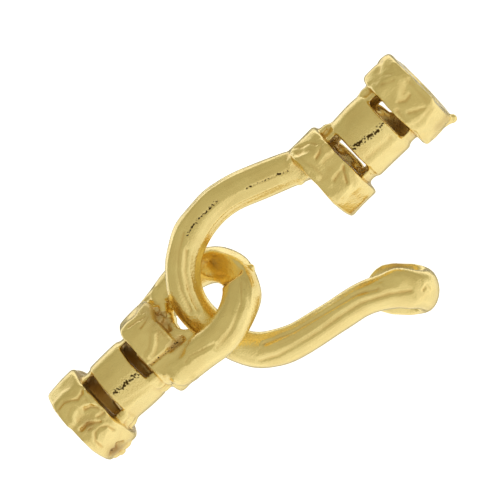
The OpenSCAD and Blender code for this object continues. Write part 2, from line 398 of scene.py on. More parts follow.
def grains_on(mesh, tree, finish, centre, reach, density, radius, seed):
    """The grains that one rough place has, as a mesh. The density is in grains to a square millimetre."""
    blank = bpy.data.objects.new("blank", mesh)
    bpy.context.scene.collection.objects.link(blank)
    scatter = blank.modifiers.new("grains", "NODES")
    scatter.node_group = tree
    values = {"Centre": centre, "Reach": reach, "Density": density, "Grain radius": radius, "Seed": seed,
              "Finish": finish}
    for item in tree.interface.items_tree:
        if item.in_out == "INPUT" and item.name in values:
            scatter[item.identifier] = values[item.name]
    graph = bpy.context.evaluated_depsgraph_get()
    grains = bpy.data.meshes.new_from_object(blank.evaluated_get(graph))
    bpy.data.objects.remove(blank)
    return grains


def nub(at, radius, stretch=(1, 1, 1)):
    """A rounded lump of metal that ran over while casting."""
    lump = bmesh.new()
    bmesh.ops.create_icosphere(lump, subdivisions=3, radius=radius)
    bmesh.ops.scale(lump, vec=stretch, verts=lump.verts)
    bmesh.ops.translate(lump, vec=at, verts=lump.verts)
    mesh = bpy.data.meshes.new("nub")
    lump.to_mesh(mesh)
    lump.free()
    return mesh


def joined(meshes):
    """Several meshes as one."""
    whole = bmesh.new()
    for mesh in meshes:
        whole.from_mesh(mesh)
    together = bpy.data.meshes.new("joined")
    whole.to_mesh(together)
    whole.free()
    return together


def ease(share):
    """0 to 1 along a smooth S, for shares below 0 to above 1."""
    share = np.clip(share, 0, 1)
    return share * share * (3 - 2 * share)


class Casting:
    """The points of a casting's skin in millimetres, and the tools that shape them.

    Most marks are placed as seen from above, by (x, y), on the highest skin there.
    """

    def __init__(self, mesh):
        self.mesh = mesh
        count = len(mesh.vertices)
        flat = np.zeros(count * 3, np.float32)
        mesh.vertices.foreach_get("co", flat)
        self.points = flat.reshape(-1, 3).astype(float)
        pairs = np.zeros(len(mesh.edges) * 2, np.int32)
        mesh.edges.foreach_get("vertices", pairs)
        pairs = pairs.reshape(-1, 2)
        self.ends = np.concatenate([pairs[:, 0], pairs[:, 1]])
        self.others = np.concatenate([pairs[:, 1], pairs[:, 0]])
        self.neighbours = np.bincount(self.ends, minlength=count)
        mesh.calc_loop_triangles()
        corners = np.zeros(len(mesh.loop_triangles) * 3, np.int32)
        mesh.loop_triangles.foreach_get("vertices", corners)
        self.triangles = corners.reshape(-1, 3)
        self.pitted = np.zeros(count)
        self.shade_and_tarnish = np.zeros(count)
        self.pit_and_shade_share = np.zeros(count)
        self.turned = self.normals()

    def gather(self, rows, values):
        """The sum of the values that belong to each point."""
        return np.stack([np.bincount(rows, values[:, k], len(self.points)) for k in range(3)], 1)

    def normals(self):
        """Works out afresh which way each point's skin faces."""
        a, b, c = (self.points[self.triangles[:, k]] for k in range(3))
        across = np.cross(b - a, c - a)
        total = sum(self.gather(self.triangles[:, k], across) for k in range(3))
        self.turned = total / np.maximum(np.linalg.norm(total, axis=1, keepdims=True), 1e-9)
        return self.turned

    def near(self, at, radius):
        """Rows of the points within a box around a place, which saves the tools from measuring them all."""
        return np.flatnonzero((np.abs(self.points - at) < radius).all(1))

    def on_top(self, x, y):
        """The highest skin at (x, y), as a point."""
        rows = np.flatnonzero((np.abs(self.points[:, :2] - (x, y)) < 1.5 * VOXEL).all(1)
                              & (self.turned[:, 2] > 0.05))
        if not len(rows):
            raise ValueError(f"no skin at {x}, {y}")
        return np.array([x, y, self.points[rows, 2].max()])

    def recast(self, lumps, voxel=VOXEL):
        """The same form and its lumps under a fresh, even skin, which heals its folds."""
        self.mesh.vertices.foreach_set("co", self.points.astype(np.float32).ravel())
        return Casting(voxel_mesh(joined([self.mesh, *lumps]), voxel))

    def smooth(self, rounds, where=1.0, keep=0.0):
        """Evens the skin out. keep is the share of each step that is taken back, so that it shrinks less."""
        where = np.broadcast_to(where, len(self.points))[:, None]
        for step in range(rounds):
            for share in (SMOOTH_STEP, -keep) if keep else (SMOOTH_STEP,):
                mean = self.gather(self.ends, self.points[self.others]) / self.neighbours[:, None]
                self.points += (mean - self.points) * share * where

    def around(self, at, radius):
        """1 at a place and falling to 0 around it."""
        away = np.linalg.norm(self.points - at, axis=1)
        return np.exp(-(away / radius) ** 2)

    def pull(self, at, radius, move):
        """Moves the skin around a place, which is on the highest skin if it has no height of its own."""
        if len(at) == 2:
            at = self.on_top(*at)
        self.points += self.around(at, radius)[:, None] * np.array(move)

    def file_flat(self, at, facing, within):
        """Takes off what stands proud of a plane, for the points that `within` chooses."""
        facing = np.array(facing, float) / np.linalg.norm(facing)
        proud = (self.points - at) @ facing
        taken = (proud + np.sqrt(proud * proud + FILED_EDGE * FILED_EDGE)) / 2
        self.points -= (taken * within * (self.turned @ facing > FILED_FACING))[:, None] * facing

    def cut(self, at, facing, within):
        """Takes off what stands over a plane, for the points that `within` chooses."""
        facing = np.array(facing, float) / np.linalg.norm(facing)
        over = np.maximum((self.points - at) @ facing, 0)
        self.points -= (over * within)[:, None] * facing

    def dent(self, radius, depth, x, y):
        """A shallow round dent, or with a negative depth a low bump."""
        at = self.on_top(x, y)
        rows = self.near(at, radius * 2.5)
        away = np.linalg.norm(self.points[rows] - at, axis=1) / radius
        facing = ease(self.turned[rows, 2] / MARKS_FADE)
        self.points[rows] -= self.turned[rows] * (depth * np.exp(-away ** 3) * facing)[:, None]

    def beside(self, width, path):
        """The rows near a path over the skin, and how many widths each lies away from it."""
        stops = [self.on_top(x, y) for x, y in path]
        middle = (np.max(stops, 0) + np.min(stops, 0)) / 2
        rows = self.near(middle, np.max(np.ptp(stops, 0)) / 2 + 4 * width)
        points = self.points[rows]
        away = np.full(len(rows), 1e9)
        for a, b in zip(stops, stops[1:]):
            share = np.clip((points - a) @ (b - a) / max((b - a) @ (b - a), 1e-9), 0, 1)
            away = np.minimum(away, np.linalg.norm(points - (a + share[:, None] * (b - a)), axis=1))
        return rows, away / width

    def crease(self, width, depth, path):
        """A groove with a low burr beside it, or with a negative depth a ridge."""
        rows, away = self.beside(width, path)
        cut = np.exp(-away ** 2) - BURR_HEIGHT * np.exp(-((away - BURR_AWAY) / BURR_WIDTH) ** 2)
        facing = ease(self.turned[rows, 2] / MARKS_FADE)
        self.points[rows] -= self.turned[rows] * (depth * cut * facing)[:, None]

    def pit_and_shade_line(self, width, path):
        """A broken line of fine dark pits: real pits on rough crests, painted shade along grooves and
        cracks, and a painted reflection along the wire's crest.
        """
        rows, away = self.beside(width, path)
        self.pit_and_shade_share[rows] = np.maximum(self.pit_and_shade_share[rows], np.exp(-away ** 2))

    def dull(self, radius, share, x, y):
        """A rough place whose colour is darkened towards brown as painted shade, in a crevice, fold or
        recess.
        """
        where = self.around(self.on_top(x, y), radius)
        self.shade_and_tarnish += share * where
        self.pitted += where

    def patches(self, spacing, flat, tilt, step, seed, where):
        """Flattish patches, each tilted and stepped a little against the next, as hand-worked wax has."""
        rng = np.random.default_rng(seed)
        rows = np.flatnonzero(where > 0.02)
        middles = []
        for row in rng.choice(rows, PATCH_PICKS, replace=False):
            if all(np.linalg.norm(self.points[row] - self.points[other]) > spacing for other in middles):
                middles.append(row)
        points = self.points[rows]
        total = np.zeros(len(rows))
        weight = np.full(len(rows), 1e-9)
        for middle in middles:
            offset = points - self.points[middle]
            near = np.exp(-(offset ** 2).sum(1) / (PATCH_BLEND * spacing) ** 2 / 2)
            slope = rng.normal(0, tilt, 3) - flat * self.turned[middle]
            rise = offset @ slope + rng.uniform(-step, step)
            total += near * rise
            weight += near
        self.points[rows] += self.turned[rows] * (total / weight * where[rows])[:, None]

    def flute(self, line, depth, counts, seed):
        """Shallow flutes along a wire, as bending and filing leave them."""
        rng = np.random.default_rng(seed)
        line = np.array(line)
        run = np.append(0, np.cumsum(np.linalg.norm(np.diff(line, axis=0), axis=1)))
        stations = np.arange(0, run[-1], LINE_STEP)
        middle = np.stack([np.interp(stations, run, line[:, k]) for k in range(3)], 1)
        padded = np.pad(middle, ((LINE_EVEN, LINE_EVEN), (0, 0)), "edge")
        middle = np.mean([padded[k:k + len(middle)] for k in range(2 * LINE_EVEN + 1)], 0)
        ahead = np.gradient(middle, axis=0)
        ahead /= np.linalg.norm(ahead, axis=1, keepdims=True)
        side = np.cross(UP, ahead)
        side /= np.maximum(np.linalg.norm(side, axis=1, keepdims=True), 1e-6)
        over = np.cross(ahead, side)
        nearest = ((middle ** 2).sum(1) - 2 * self.points @ middle.T).argmin(1)
        offset = self.points - middle[nearest]
        along = stations[nearest]
        turn = np.arctan2((offset * over[nearest]).sum(1), (offset * side[nearest]).sum(1))
        height = np.zeros(len(turn))
        for count in counts:
            drift, beat, start, phase = rng.uniform((-0.03, 0.15, 0, 0), (0.03, 0.5, 6.3, 6.3))
            strength = 0.6 + 0.4 * np.cos(beat * along + start)
            height += np.cos(count * (turn + drift * along) + phase) * strength
        away = np.linalg.norm(offset, axis=1)
        ends = ease(along / FLUTE_FADE) * ease((run[-1] - along) / FLUTE_FADE)
        where = ends * ease((WIRE_SKIN[1] - away) / 0.4) * ease((away - WIRE_SKIN[0]) / 0.3)
        self.points += self.turned * (height * depth * where)[:, None]

    def ripple(self, amplitude, wavelength, seed):
        """A gentle unevenness all over, from waves that run in all directions."""
        rng = np.random.default_rng(seed)
        waves = rng.normal(size=(RIPPLE_WAVES, 3))
        turns = 2 * np.pi / wavelength * rng.uniform(0.6, 1.3, RIPPLE_WAVES)
        waves *= (turns / np.linalg.norm(waves, axis=1))[:, None]
        phases = rng.uniform(0, 2 * np.pi, RIPPLE_WAVES)
        height = np.cos(self.points @ waves.T + phases).sum(1) / math.sqrt(RIPPLE_WAVES / 2)
        self.points += self.turned * (height * amplitude)[:, None]

    def finish(self, name, material, slot_name):
        """The shaped skin as an object at its place in metres, standing for its CAD node."""
        even = Casting(self.mesh)
        even.points = self.points.copy()
        even.smooth(HOLLOW_ROUNDS)
        # The depth of each hollow, which darkens its colour as painted shade.
        hollow_shade = ((even.points - self.points) * self.normals()).sum(1) / HOLLOW_DEPTH
        for share, values in zip(SHARES, (hollow_shade, self.pitted, self.shade_and_tarnish, self.pit_and_shade_share)):
            layer = self.mesh.attributes.new(share, "FLOAT", "POINT")
            layer.data.foreach_set("value", np.clip(values, 0, 1).astype(np.float32))
        self.mesh.vertices.foreach_set("co", (self.points * MM).astype(np.float32).ravel())
        self.mesh.update()
        self.mesh.polygons.foreach_set("use_smooth", [True] * len(self.mesh.polygons))
        self.mesh.materials.clear()
        self.mesh.materials.append(material)
        piece = bpy.data.objects.new("cast_" + name, self.mesh)
        bpy.context.scene.collection.objects.link(piece)
        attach(piece, "root")
        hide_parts(name)
        return piece


# The cord sockets, in millimetres
BAND_RADIUS = 3.9
SLOT_WIDTH = 1.0
# The lengths of the base, middle and end bands.
HOOK_BANDS = (3.05, 3.55, 3.15)
EYE_BANDS = (3.05, 3.1, 3.2)
# Which skin counts as a band's: from this radius, this far over the band's, and this far past its ends.
BAND_FROM = 2.5
BAND_OVER = 0.7
BAND_PAST = 0.25
# Which skin counts as the bore's: under the first radius, and in the slots under the second.
BORE_UNDER = 3.4
SLOT_UNDER = 4.2
# The blows leave this stretch of a band's top alone, in degrees to each side.
SPARED_TOP = 40
MOUNTS = {mount["name"]: mount for mount in frame["record"]["mounts"]}


class Socket:
    """Where a half's cord socket lies, to find its bands by."""

    def __init__(self, mount_name, lengths):
        mount = MOUNTS[mount_name]
        self.mouth = np.array(mount["pos_m"]) / MM
        self.axis = np.array(mount["axis"], float)
        self.across = np.cross(UP, self.axis)
        self.across /= np.linalg.norm(self.across)
        self.over = np.cross(self.axis, self.across)
        base, middle, end = lengths
        total = base + middle + end + 2 * SLOT_WIDTH
        self.base = self.mouth - self.axis * total
        self.bands = {"base": (0, base), "middle": (base + SLOT_WIDTH, base + SLOT_WIDTH + middle),
                      "end": (total - end, total)}

    def along(self, points):
        """How far along the axis the points lie, from the base band's face."""
        return (points - self.base) @ self.axis

    def at(self, along, degrees, radius):
        """A point of the socket: degrees from the top, positive towards its `across` side."""
        turn = math.radians(degrees)
        outward = self.over * math.cos(turn) + self.across * math.sin(turn)
        return self.base + self.axis * along + radius * outward

    def in_band(self, skin, band):
        """1 for a band's outer skin, and 0 for everything else."""
        start, stop = self.bands[band]
        along = self.along(skin.points)
        radius = np.linalg.norm(skin.points - self.base - along[:, None] * self.axis, axis=1)
        outside = ease((radius - BAND_FROM) / 0.4) * ease((BAND_RADIUS + BAND_OVER - radius) / 0.4)
        from_start = ease((along - start + BAND_PAST) / 0.3)
        return outside * from_start * ease((stop + BAND_PAST - along) / 0.3)

    def in_bore(self, skin):
        """1 inside the bore and deep in the slots, and 0 on the outside."""
        along = self.along(skin.points)
        offset = skin.points - self.base - along[:, None] * self.axis
        radius = np.linalg.norm(offset, axis=1)
        outward = (skin.turned * offset).sum(1) / np.maximum(radius, 1e-6)
        length = self.bands["end"][1]
        inside = ease((along + 0.1) / 0.2) * ease((length - 0.1 - along) / 0.4)
        deep = ease((BORE_UNDER - radius) / 0.8)
        for stop, start in (("base", "middle"), ("middle", "end")):
            from_slot = np.maximum(self.bands[stop][1] - along, along - self.bands[start][0])
            in_slot = ease((0.12 - from_slot) / 0.12) * ease((SLOT_UNDER - radius) / 0.5)
            deep = np.maximum(deep, in_slot)
        return inside * deep * ease((0.5 - outward) / 0.4)


def hammer(skin, socket, band, blows, depth, seed):
    """Flats round a band's sides and underside, as light hammer blows leave them."""
    rng = np.random.default_rng(seed)
    start, stop = socket.bands[band]
    where = socket.in_band(skin, band)
    for blow in range(blows):
        degrees = 360 * (blow + rng.uniform(0.1, 0.9)) / blows
        along = rng.uniform(start, stop)
        lean = rng.normal(0, 0.07, 2)
        sink = depth * rng.uniform(0.4, 1)
        if degrees < SPARED_TOP or degrees > 360 - SPARED_TOP:
            continue
        outward = socket.at(0, degrees, 1) - socket.base
        facing = outward + socket.axis * lean[0] + np.cross(socket.axis, outward) * lean[1]
        skin.file_flat(socket.at(along, degrees, BAND_RADIUS - sink), facing, where)


# The two halves. Each list says what its rows hold. A place (x, y) is on the highest skin there, and a
# socket place is (distance from the base band's face, degrees from the top, distance from the axis).
# Creases are (width, depth, path), dents (radius, depth, x, y) and lines of dark pits and painted shade
# (width, path).
HOOK_CREASES = [
    # End band: plain tool marks, and the edges of its flat top.
    (0.2, 0.1, [(18.0, 6.1), (18.4, 5.8), (18.9, 5.6)]),
    (0.18, 0.07, [(18.8, 6.6), (19.2, 6.1)]),
    (0.18, 0.08, [(18.0, 4.0), (18.5, 3.7), (19.0, 3.8)]),
    (0.2, 0.08, [(18.0, 2.8), (18.5, 2.5), (19.1, 2.2)]),
    (0.27, 0.08, [(19.9, 6.4), (19.8, 4.9), (19.7, 2.7), (19.4, 1.8), (18.2, 1.6), (17.4, 1.8)]),
    (0.18, 0.07, [(17.4, 3.6), (17.3, 2.9), (17.3, 1.9)]),
    # Base band, from the wire's root to the front.
    (0.18, -0.11, [(8.6, 7.1), (8.7, 6.4), (8.8, 5.7), (9.0, 4.9), (9.0, 4.2)]),
    (0.18, 0.1, [(9.2, 7.4), (9.7, 7.1), (10.2, 6.9)]),
    (0.16, 0.1, [(10.4, 6.8), (10.7, 6.3), (11.1, 6.2)]),
    (0.18, 0.14, [(10.0, 5.4), (10.5, 5.6), (11.1, 6.0)]),
    (0.18, -0.08, [(10.1, 5.1), (10.7, 5.1), (11.2, 5.0)]),
    (0.2, 0.1, [(9.8, 3.1), (10.3, 3.2), (10.9, 3.3)]),
    (0.16, 0.14, [(11.1, 3.4), (10.7, 2.8), (10.4, 2.2)]),
    (0.23, -0.07, [(11.0, 2.8), (10.6, 2.3), (10.2, 1.8), (9.3, 1.7)]),
    (0.4, 0.03, [(9.2, 1.4), (9.9, 1.15), (10.6, 0.9)]),
    # Middle band: a long groove beside the rough crest.
    (0.36, 0.14, [(12.9, 2.5), (14.0, 2.4), (15.4, 2.3)]),
    # The slots' lips, run on over the front rails.
    (0.09, 0.17, [(11.54, 2.0), (11.54, 1.4), (11.54, 1.0)]),
    (0.09, 0.17, [(12.4, 2.0), (12.4, 1.4), (12.4, 1.0)]),
    (0.09, 0.17, [(16.1, 2.0), (16.1, 1.4), (16.1, 1.0)]),
    (0.09, 0.17, [(16.93, 2.0), (16.93, 1.4), (16.93, 1.0)]),
    # Lengthwise tool lines on the wire.
    (0.1, 0.05, [(-2.2, 8.3), (-0.9, 8.6), (0.4, 8.6), (1.6, 8.6)]),
    (0.1, 0.05, [(4.0, 7.7), (5.3, 7.2), (6.7, 6.7), (7.4, 6.4)]),
    (0.3, -0.03, [(1.9, 7.5), (3.7, 7.0), (5.8, 6.2)]),
    (0.2, 0.13, [(-3.8, -2.5), (-1.4, -3.4), (0.3, -3.8), (2.0, -4.2), (4.5, -4.8), (6.0, -5.7)]),
    (0.2, 0.11, [(-5.1, -3.3), (-3.7, -4.0), (0.1, -4.9), (2.2, -5.2), (4.2, -5.6), (6.4, -6.7),
                 (7.8, -7.7)]),
    (0.18, 0.09, [(-2.3, 8.6), (-3.6, 7.8), (-4.8, 6.7), (-5.7, 5.3), (-6.3, 3.6)]),
    (0.2, 0.1, [(-3.1, 7.4), (-4.3, 6.3), (-5.2, 4.9), (-5.8, 3.3)]),
    (0.16, 0.04, [(-4.4, -2.6), (-2.5, -3.6), (-0.6, -4.1), (1.3, -4.4)]),
    (0.14, 0.04, [(4.1, -4.7), (5.3, -5.1), (6.9, -5.5)]),
    (0.13, 0.12, [(8.6, -8.4), (9.1, -8.3), (9.1, -8.8)]),
]
HOOK_DENTS = [
    (0.7, 0.1, 18.2, 6.6), (0.45, -0.04, 19.2, 5.7), (0.6, 0.05, 18.7, 3.9), (0.6, 0.07, 18.7, 2.4),
    (0.7, 0.04, 17.6, 5.0), (0.6, 0.05, 19.4, 1.0), (0.5, -0.12, 11.1, 5.4), (1.0, 0.07, 9.6, 6.1),
    (1.0, 0.07, 10.2, 4.0), (0.35, -0.06, 9.2, 3.2), (0.9, 0.07, 10.0, 2.3), (0.8, 0.06, 10.3, 0.7),
    (0.5, 0.08, 11.0, 6.6), (0.5, 0.08, 9.3, 6.9), (0.4, 0.08, 8.2, 6.0), (0.6, 0.09, 15.7, 2.6),
    (0.6, 0.05, 14.1, 5.9), (0.5, 0.06, 7.5, -7.3),
]
HOOK_PIT_AND_SHADE_LINES = [
    # Dark pits along the wire's crest, which also paint the lens's dark reflection there.
    (0.15, [(-2.2, 8.3), (-0.9, 8.6), (0.4, 8.6), (1.6, 8.6)]),
    (0.11, [(4.0, 7.7), (5.3, 7.2), (6.7, 6.7), (7.4, 6.4)]),
    # Real pits on the middle band's rough crest.
    (0.32, [(12.7, 3.9), (13.4, 3.8), (14.2, 3.7), (15.0, 3.6), (15.6, 3.6)]),
    (0.06, [(9.0, 1.4), (9.3, 1.4)]),
    # Painted shade along the slots' lips.
    (0.1, [(11.54, 2.0), (11.54, 1.4), (11.54, 1.0)]),
    (0.1, [(12.4, 2.0), (12.4, 1.4), (12.4, 1.0)]),
    (0.1, [(16.1, 2.0), (16.1, 1.4), (16.1, 1.0)]),
    (0.1, [(16.93, 2.0), (16.93, 1.4), (16.93, 1.0)]),
]
EYE_CREASES = [
    # End band: the rim of a shallow dish, a raised fold, a deep fold and the rim of a round boss.
    (0.16, 0.17, [(-19.7, 5.4), (-19.0, 5.5), (-18.5, 5.2), (-18.0, 4.8), (-17.4, 4.9), (-17.1, 5.2)]),
    (0.16, -0.11, [(-17.1, 4.9), (-17.2, 4.3), (-17.2, 3.7)]),
    (0.18, -0.08, [(-18.0, 4.2), (-17.4, 3.9), (-17.2, 3.5), (-17.2, 3.0)]),
    (0.16, 0.14, [(-18.1, 3.8), (-17.6, 3.6), (-17.3, 3.2), (-17.2, 2.8)]),
    (0.16, 0.14, [(-17.8, 2.6), (-17.2, 2.5)]),
    (0.18, -0.1, [(-18.8, 4.3), (-19.3, 4.1), (-19.5, 3.6), (-19.5, 3.1)]),
    (0.16, 0.22, [(-19.5, 2.8), (-18.8, 2.8), (-18.4, 2.5), (-17.9, 2.2)]),
    (0.13, 0.14, [(-19.0, 2.4), (-18.5, 2.2), (-18.1, 2.2)]),
    (0.16, 0.14, [(-19.3, 0.5), (-19.3, 1.3), (-18.8, 1.85), (-18.2, 1.9), (-17.7, 1.5), (-17.6, 0.9)]),
    (0.15, 0.24, [(-19.4, -0.4), (-19.0, -0.2), (-18.7, -0.4), (-18.3, -0.1), (-17.9, -0.35)]),
    # Middle band: a long groove between its rough crest and its smooth front.
    (0.2, 0.07, [(-15.5, 1.9), (-14.5, 1.7), (-13.0, 1.4), (-12.1, 1.3)]),
    # Base band, and the crevices beside the wire's upper root.
    (0.18, 0.14, [(-10.8, 6.3), (-10.0, 6.2), (-9.2, 5.9)]),
    (0.14, 0.14, [(-9.0, 5.7), (-9.6, 5.6), (-10.1, 5.5)]),
    (0.18, -0.14, [(-9.6, 4.3), (-10.2, 3.7), (-10.7, 3.4), (-11.2, 3.3)]),
    (0.14, 0.18, [(-11.75, 2.68), (-11.0, 2.64), (-10.3, 2.54), (-9.6, 2.46)]),
    (0.26, 0.26, [(-9.5, 2.46), (-8.9, 2.45), (-8.4, 2.46)]),
    (0.14, -0.08, [(-8.9, 5.6), (-8.9, 4.4), (-8.9, 3.4)]),
    # Loop.
    (0.18, 0.07, [(-9.2, 0.8), (-8.6, 0.9), (-7.8, 0.6), (-6.4, 0.2)]),
    (0.2, 0.09, [(-1.5, 2.4), (-2.5, 1.1), (-4.5, 0.1), (-6.5, -0.2)]),
    (0.25, 0.04, [(-1.0, 2.8), (-1.5, 2.2), (-2.3, 1.6), (-3.3, 1.0)]),
    (0.14, -0.04, [(-0.7, 2.4), (-1.1, 1.5), (-1.8, 0.7)]),
]
EYE_DENTS = [
    (0.55, 0.1, -17.6, 5.4), (0.8, 0.13, -18.5, 3.2), (0.8, -0.1, -18.2, 0.7), (0.7, 0.05, -17.9, 6.4),
    (0.6, 0.05, -17.3, 2.0), (1.0, 0.06, -10.6, 4.9), (0.8, 0.06, -9.4, 4.3), (0.8, 0.07, -9.9, 3.0),
    (0.5, 0.08, -10.0, 6.8), (0.5, 0.06, -9.2, 6.3), (0.6, 0.05, -14.7, 4.8), (0.6, 0.05, -7.4, 1.0),
    (0.7, 0.05, -4.6, 0.6), (0.6, 0.05, -2.4, 0.9),
]
EYE_PIT_AND_SHADE_LINES = [
    # Painted shade in the torn notch's crack.
    (0.16, [(-19.2, -0.3), (-18.5, -0.2), (-17.9, -0.3)]),
    # Real pits on the middle band's rough crest.
    (0.32, [(-15.4, 3.1), (-14.6, 3.0), (-13.7, 3.0), (-13.0, 2.9)]),
    # Painted shade in the crevice beside the wire's upper root and the groove beside it, and in the end
    # band's deep fold.
    (0.13, [(-9.4, 2.46), (-8.9, 2.45), (-8.5, 2.46)]),
    (0.13, [(-11.6, 2.67), (-11.0, 2.64), (-10.3, 2.54), (-9.6, 2.46)]),
    (0.06, [(-19.4, 2.8), (-18.8, 2.7), (-18.3, 2.4)]),
]
# The middle lines of the hook's wire and of the loop, which their flutes follow.
HOOK_LINE = [
    (8.1, 6.2, 3.9), (5.9, 7.1, 4.0), (3.9, 7.8, 4.2), (1.8, 8.4, 4.4), (-0.3, 8.3, 4.7),
    (-2.4, 7.8, 4.9), (-4.3, 6.7, 4.9), (-5.4, 5.0, 4.8), (-6.0, 2.9, 4.6), (-6.0, 0.8, 4.4),
    (-5.3, -1.3, 4.4), (-4.1, -2.9, 4.4), (-2.3, -4.1, 4.3), (-0.2, -4.5, 4.1), (2.0, -5.0, 3.9),
    (4.0, -5.5, 3.7), (6.0, -6.3, 3.5), (7.7, -7.7, 3.3),
]
LOOP_LINE = [
    (-8.2, 0.4, 7.6), (-7.1, 0.3, 7.7), (-6.3, 0.3, 7.8), (-4.9, 0.4, 7.7), (-3.6, 0.8, 7.4),
    (-2.6, 1.5, 6.7), (-1.9, 2.3, 5.9), (-1.6, 3.2, 4.9), (-1.8, 4.1, 3.9), (-2.4, 5.0, 3.0),
    (-3.4, 5.6, 2.2), (-4.6, 6.0, 1.7), (-5.9, 6.1, 1.5), (-7.6, 6.1, 1.5),
]
HOOK_ROOT = np.array([8.3, 5.9, 4.0])
LOOP_ROOTS = np.array([[-8.5, 0.9, 7.0], [-8.5, 5.6, 2.9]])
CURLED_END = (8.2, -5.3, 1.2)

# Grains at the roots: (place, reach, density, grain radius, seed).
HOOK_GRAINS = [(HOOK_ROOT + (0, 0, 0.6), 1.5, 2.2, 0.26, 11)]
EYE_GRAINS = [(LOOP_ROOTS[0], 1.8, 1.6, 0.28, 12), (LOOP_ROOTS[1], 2.0, 2.4, 0.3, 13)]
# Metal run together before the filing: (socket place, radius, stretch).
HOOK_SOCKET_RUNS = [
    # The back rails run out flush into the bands.
    ((3.3, 84, 2.95), 0.55, (1.7, 0.6, 1.8)),
    ((8.1, 84, 2.85), 0.5, (1.6, 0.6, 1.8)),
    # Fins left in the lower slots.
    ((3.3, 180, 2.6), 0.6, (0.6, 3.2, 0.8)),
    ((7.8, 180, 2.6), 0.6, (0.6, 3.2, 0.8)),
    ((8.1, -165, 2.6), 0.6, (1.2, 1.6, 0.8)),
]
# The slots' ends at the front.
EYE_SOCKET_RUNS = [((7.65, degrees, 2.65), 0.5, (1.5, 1, 1)) for degrees in (46, 64, 82)]
EYE_SOCKET_RUNS += [((3.55, degrees, 2.65), 0.5, (1.5, 1, 1)) for degrees in (34, 50, 70)]
# The same at the loop's lower root: (place, radius, stretch).
EYE_ROOT_RUNS = [
    ((-8.2, 5.2, 2.9), 0.55, (1, 0.8, 1.3)),
    ((-8.3, 4.4, 3.1), 0.55, (0.95, 1.1, 1.5)),
    ((-7.8, 5.3, 2.7), 0.45),
    ((-8.5, 3.6, 3.2), 0.5, (0.7, 1.3, 1.4)),
]
# Flat tops of the bands: (band, socket place, lean).
HOOK_TOPS = [("base", (1.5, 0, 3.44), (0.02, 0.03, 0)), ("end", (10, 0, 3.42), (-0.02, 0.02, 0))]
EYE_TOPS = [("end", (10, 0, 3.44), (0, 0.03, 0)), ("base", (1.5, 0, 3.42), (0.02, 0.04, 0))]
# Long facets round the middle bands, as socket places.
HOOK_FACETS = [(5.8, 38, 2.85), (5.8, -16, 2.84), (5.8, -52, 2.83), (5.8, 100, 2.88), (5.8, 160, 2.86),
               (5.8, -120, 2.85)]
EYE_FACETS = [(5.6, -38, 2.85), (5.6, 14, 2.84), (5.6, 55, 2.83), (5.6, -100, 2.88), (5.6, -160, 2.86),
              (5.6, 120, 2.85)]
# The loop's bend slopes down to its far side in one broad flat, which passes through this place.
BEND_FLAT = np.array([-1.6, 3.2, 5.85])
BEND_FACING = (-0.59, 0.42, 0.69)
# The end band's inner corner at the front, knocked off, as a socket place.
WORN_CORNER = (8.15, 90, 3.7)
WORN_FACING = (0.75, -0.65, 0)
# Pulls: (place, radius, move).
HOOK_PULLS = [
    # The end band's far side, and the wire round its bend.
    ((18.6, 7.6, 5.2), 0.9, (-0.05, 0.16, 0.03)),
    ((-6.6, 4.4, 4.7), 2.0, (-0.15, 0.14, 0)),
    ((-2.4, 9.5, 4.8), 1.8, (-0.12, 0.12, 0)),
    ((-2.6, -2.5, 4.4), 1.5, (0.17, 0.18, 0)),
    # The tip.
    ((8.1, -6.4), 1.2, (0.2, 0.21, 0)),
    ((7.4, -5.8), 1.1, (0.16, 0.17, 0)),
    ((7.9, -6.0), 1.3, (0.16, 0.17, 0)),
    ((7.9, -9.6, 3.6), 1.2, (0.25, 0.26, 0)),
]
EYE_PULLS = [
    ((-8.8, 6.0, 6.2), 1.2, (0.25, 0, 0)),
    ((-1.7, 0.4, 6.4), 1.6, (0.11, -0.1, 0)),
]
# Lumps under the last skin: (place, radius, stretch).
HOOK_LUMPS = [
    # A small bead and the ragged seam it hangs from.
    ((20.1, 0.1, 4.4), 0.4),
    ((19.8, 0.1, 4.5), 0.3, (1.4, 0.8, 1)),
    ((19.4, 0.1, 4.6), 0.22, (1.6, 0.8, 1)),
    ((18.6, 0.1, 4.8), 0.25, (1.6, 0.7, 1)),
    ((18.0, 0.05, 4.7), 0.2, (1.6, 0.7, 1)),
    ((17.4, 0.15, 4.9), 0.25, (1.3, 0.7, 1)),
]
EYE_LUMPS = [
    # The web at the upper root, and crumbs along the band's edge beside it.
    ((-8.9, 2.5, 6.9), 0.75),
    ((-8.9, 4.1, 6.3), 0.6),
    ((-8.3, 3.1, 7.1), 0.5, (1.1, 1, 0.9)),
    ((-8.0, 2.8, 7.3), 0.42),
    ((-7.6, 2.4, 7.5), 0.42, (1.2, 1, 1)),
    ((-8.2, 4.3, 6.3), 0.36),
    ((-8.2, 3.7, 6.7), 0.36),
    ((-8.15, 4.95, 5.8), 0.34),
    ((-8.3, 5.6, 5.9), 0.3),
    ((-8.5, 4.8, 6.6), 0.34),
    # A torn seam along the bands' front.
    ((-18.0, -0.62, 4.6), 0.3, (1.8, 0.9, 0.8)),
    ((-18.7, -0.75, 4.2), 0.28, (1.3, 0.9, 1)),
    ((-19.2, -0.6, 4.4), 0.26, (1.2, 0.9, 1)),
    ((-9.6, -0.45, 7.9), 0.3, (1.6, 0.9, 0.8)),
    # The lip at the loop's bend.
    ((-0.32, 2.75, 5.7), 0.36),
]
# Evened out round the loop's roots, on the band beside them and at the bend: (x, y, z, radius).
EYE_SMOOTHED = [
    (-7.7, 2.2, 7.6, 0.6), (-9.0, 2.0, 7.6, 0.8), (-9.6, 1.7, 7.5, 0.8), (-10.6, 1.45, 7.2, 0.7),
    (-8.2, 2.9, 7.3, 0.6), (-8.0, 7.2, 2.2, 0.6), (-2.2, 4.9, 4.4, 1.1),
]
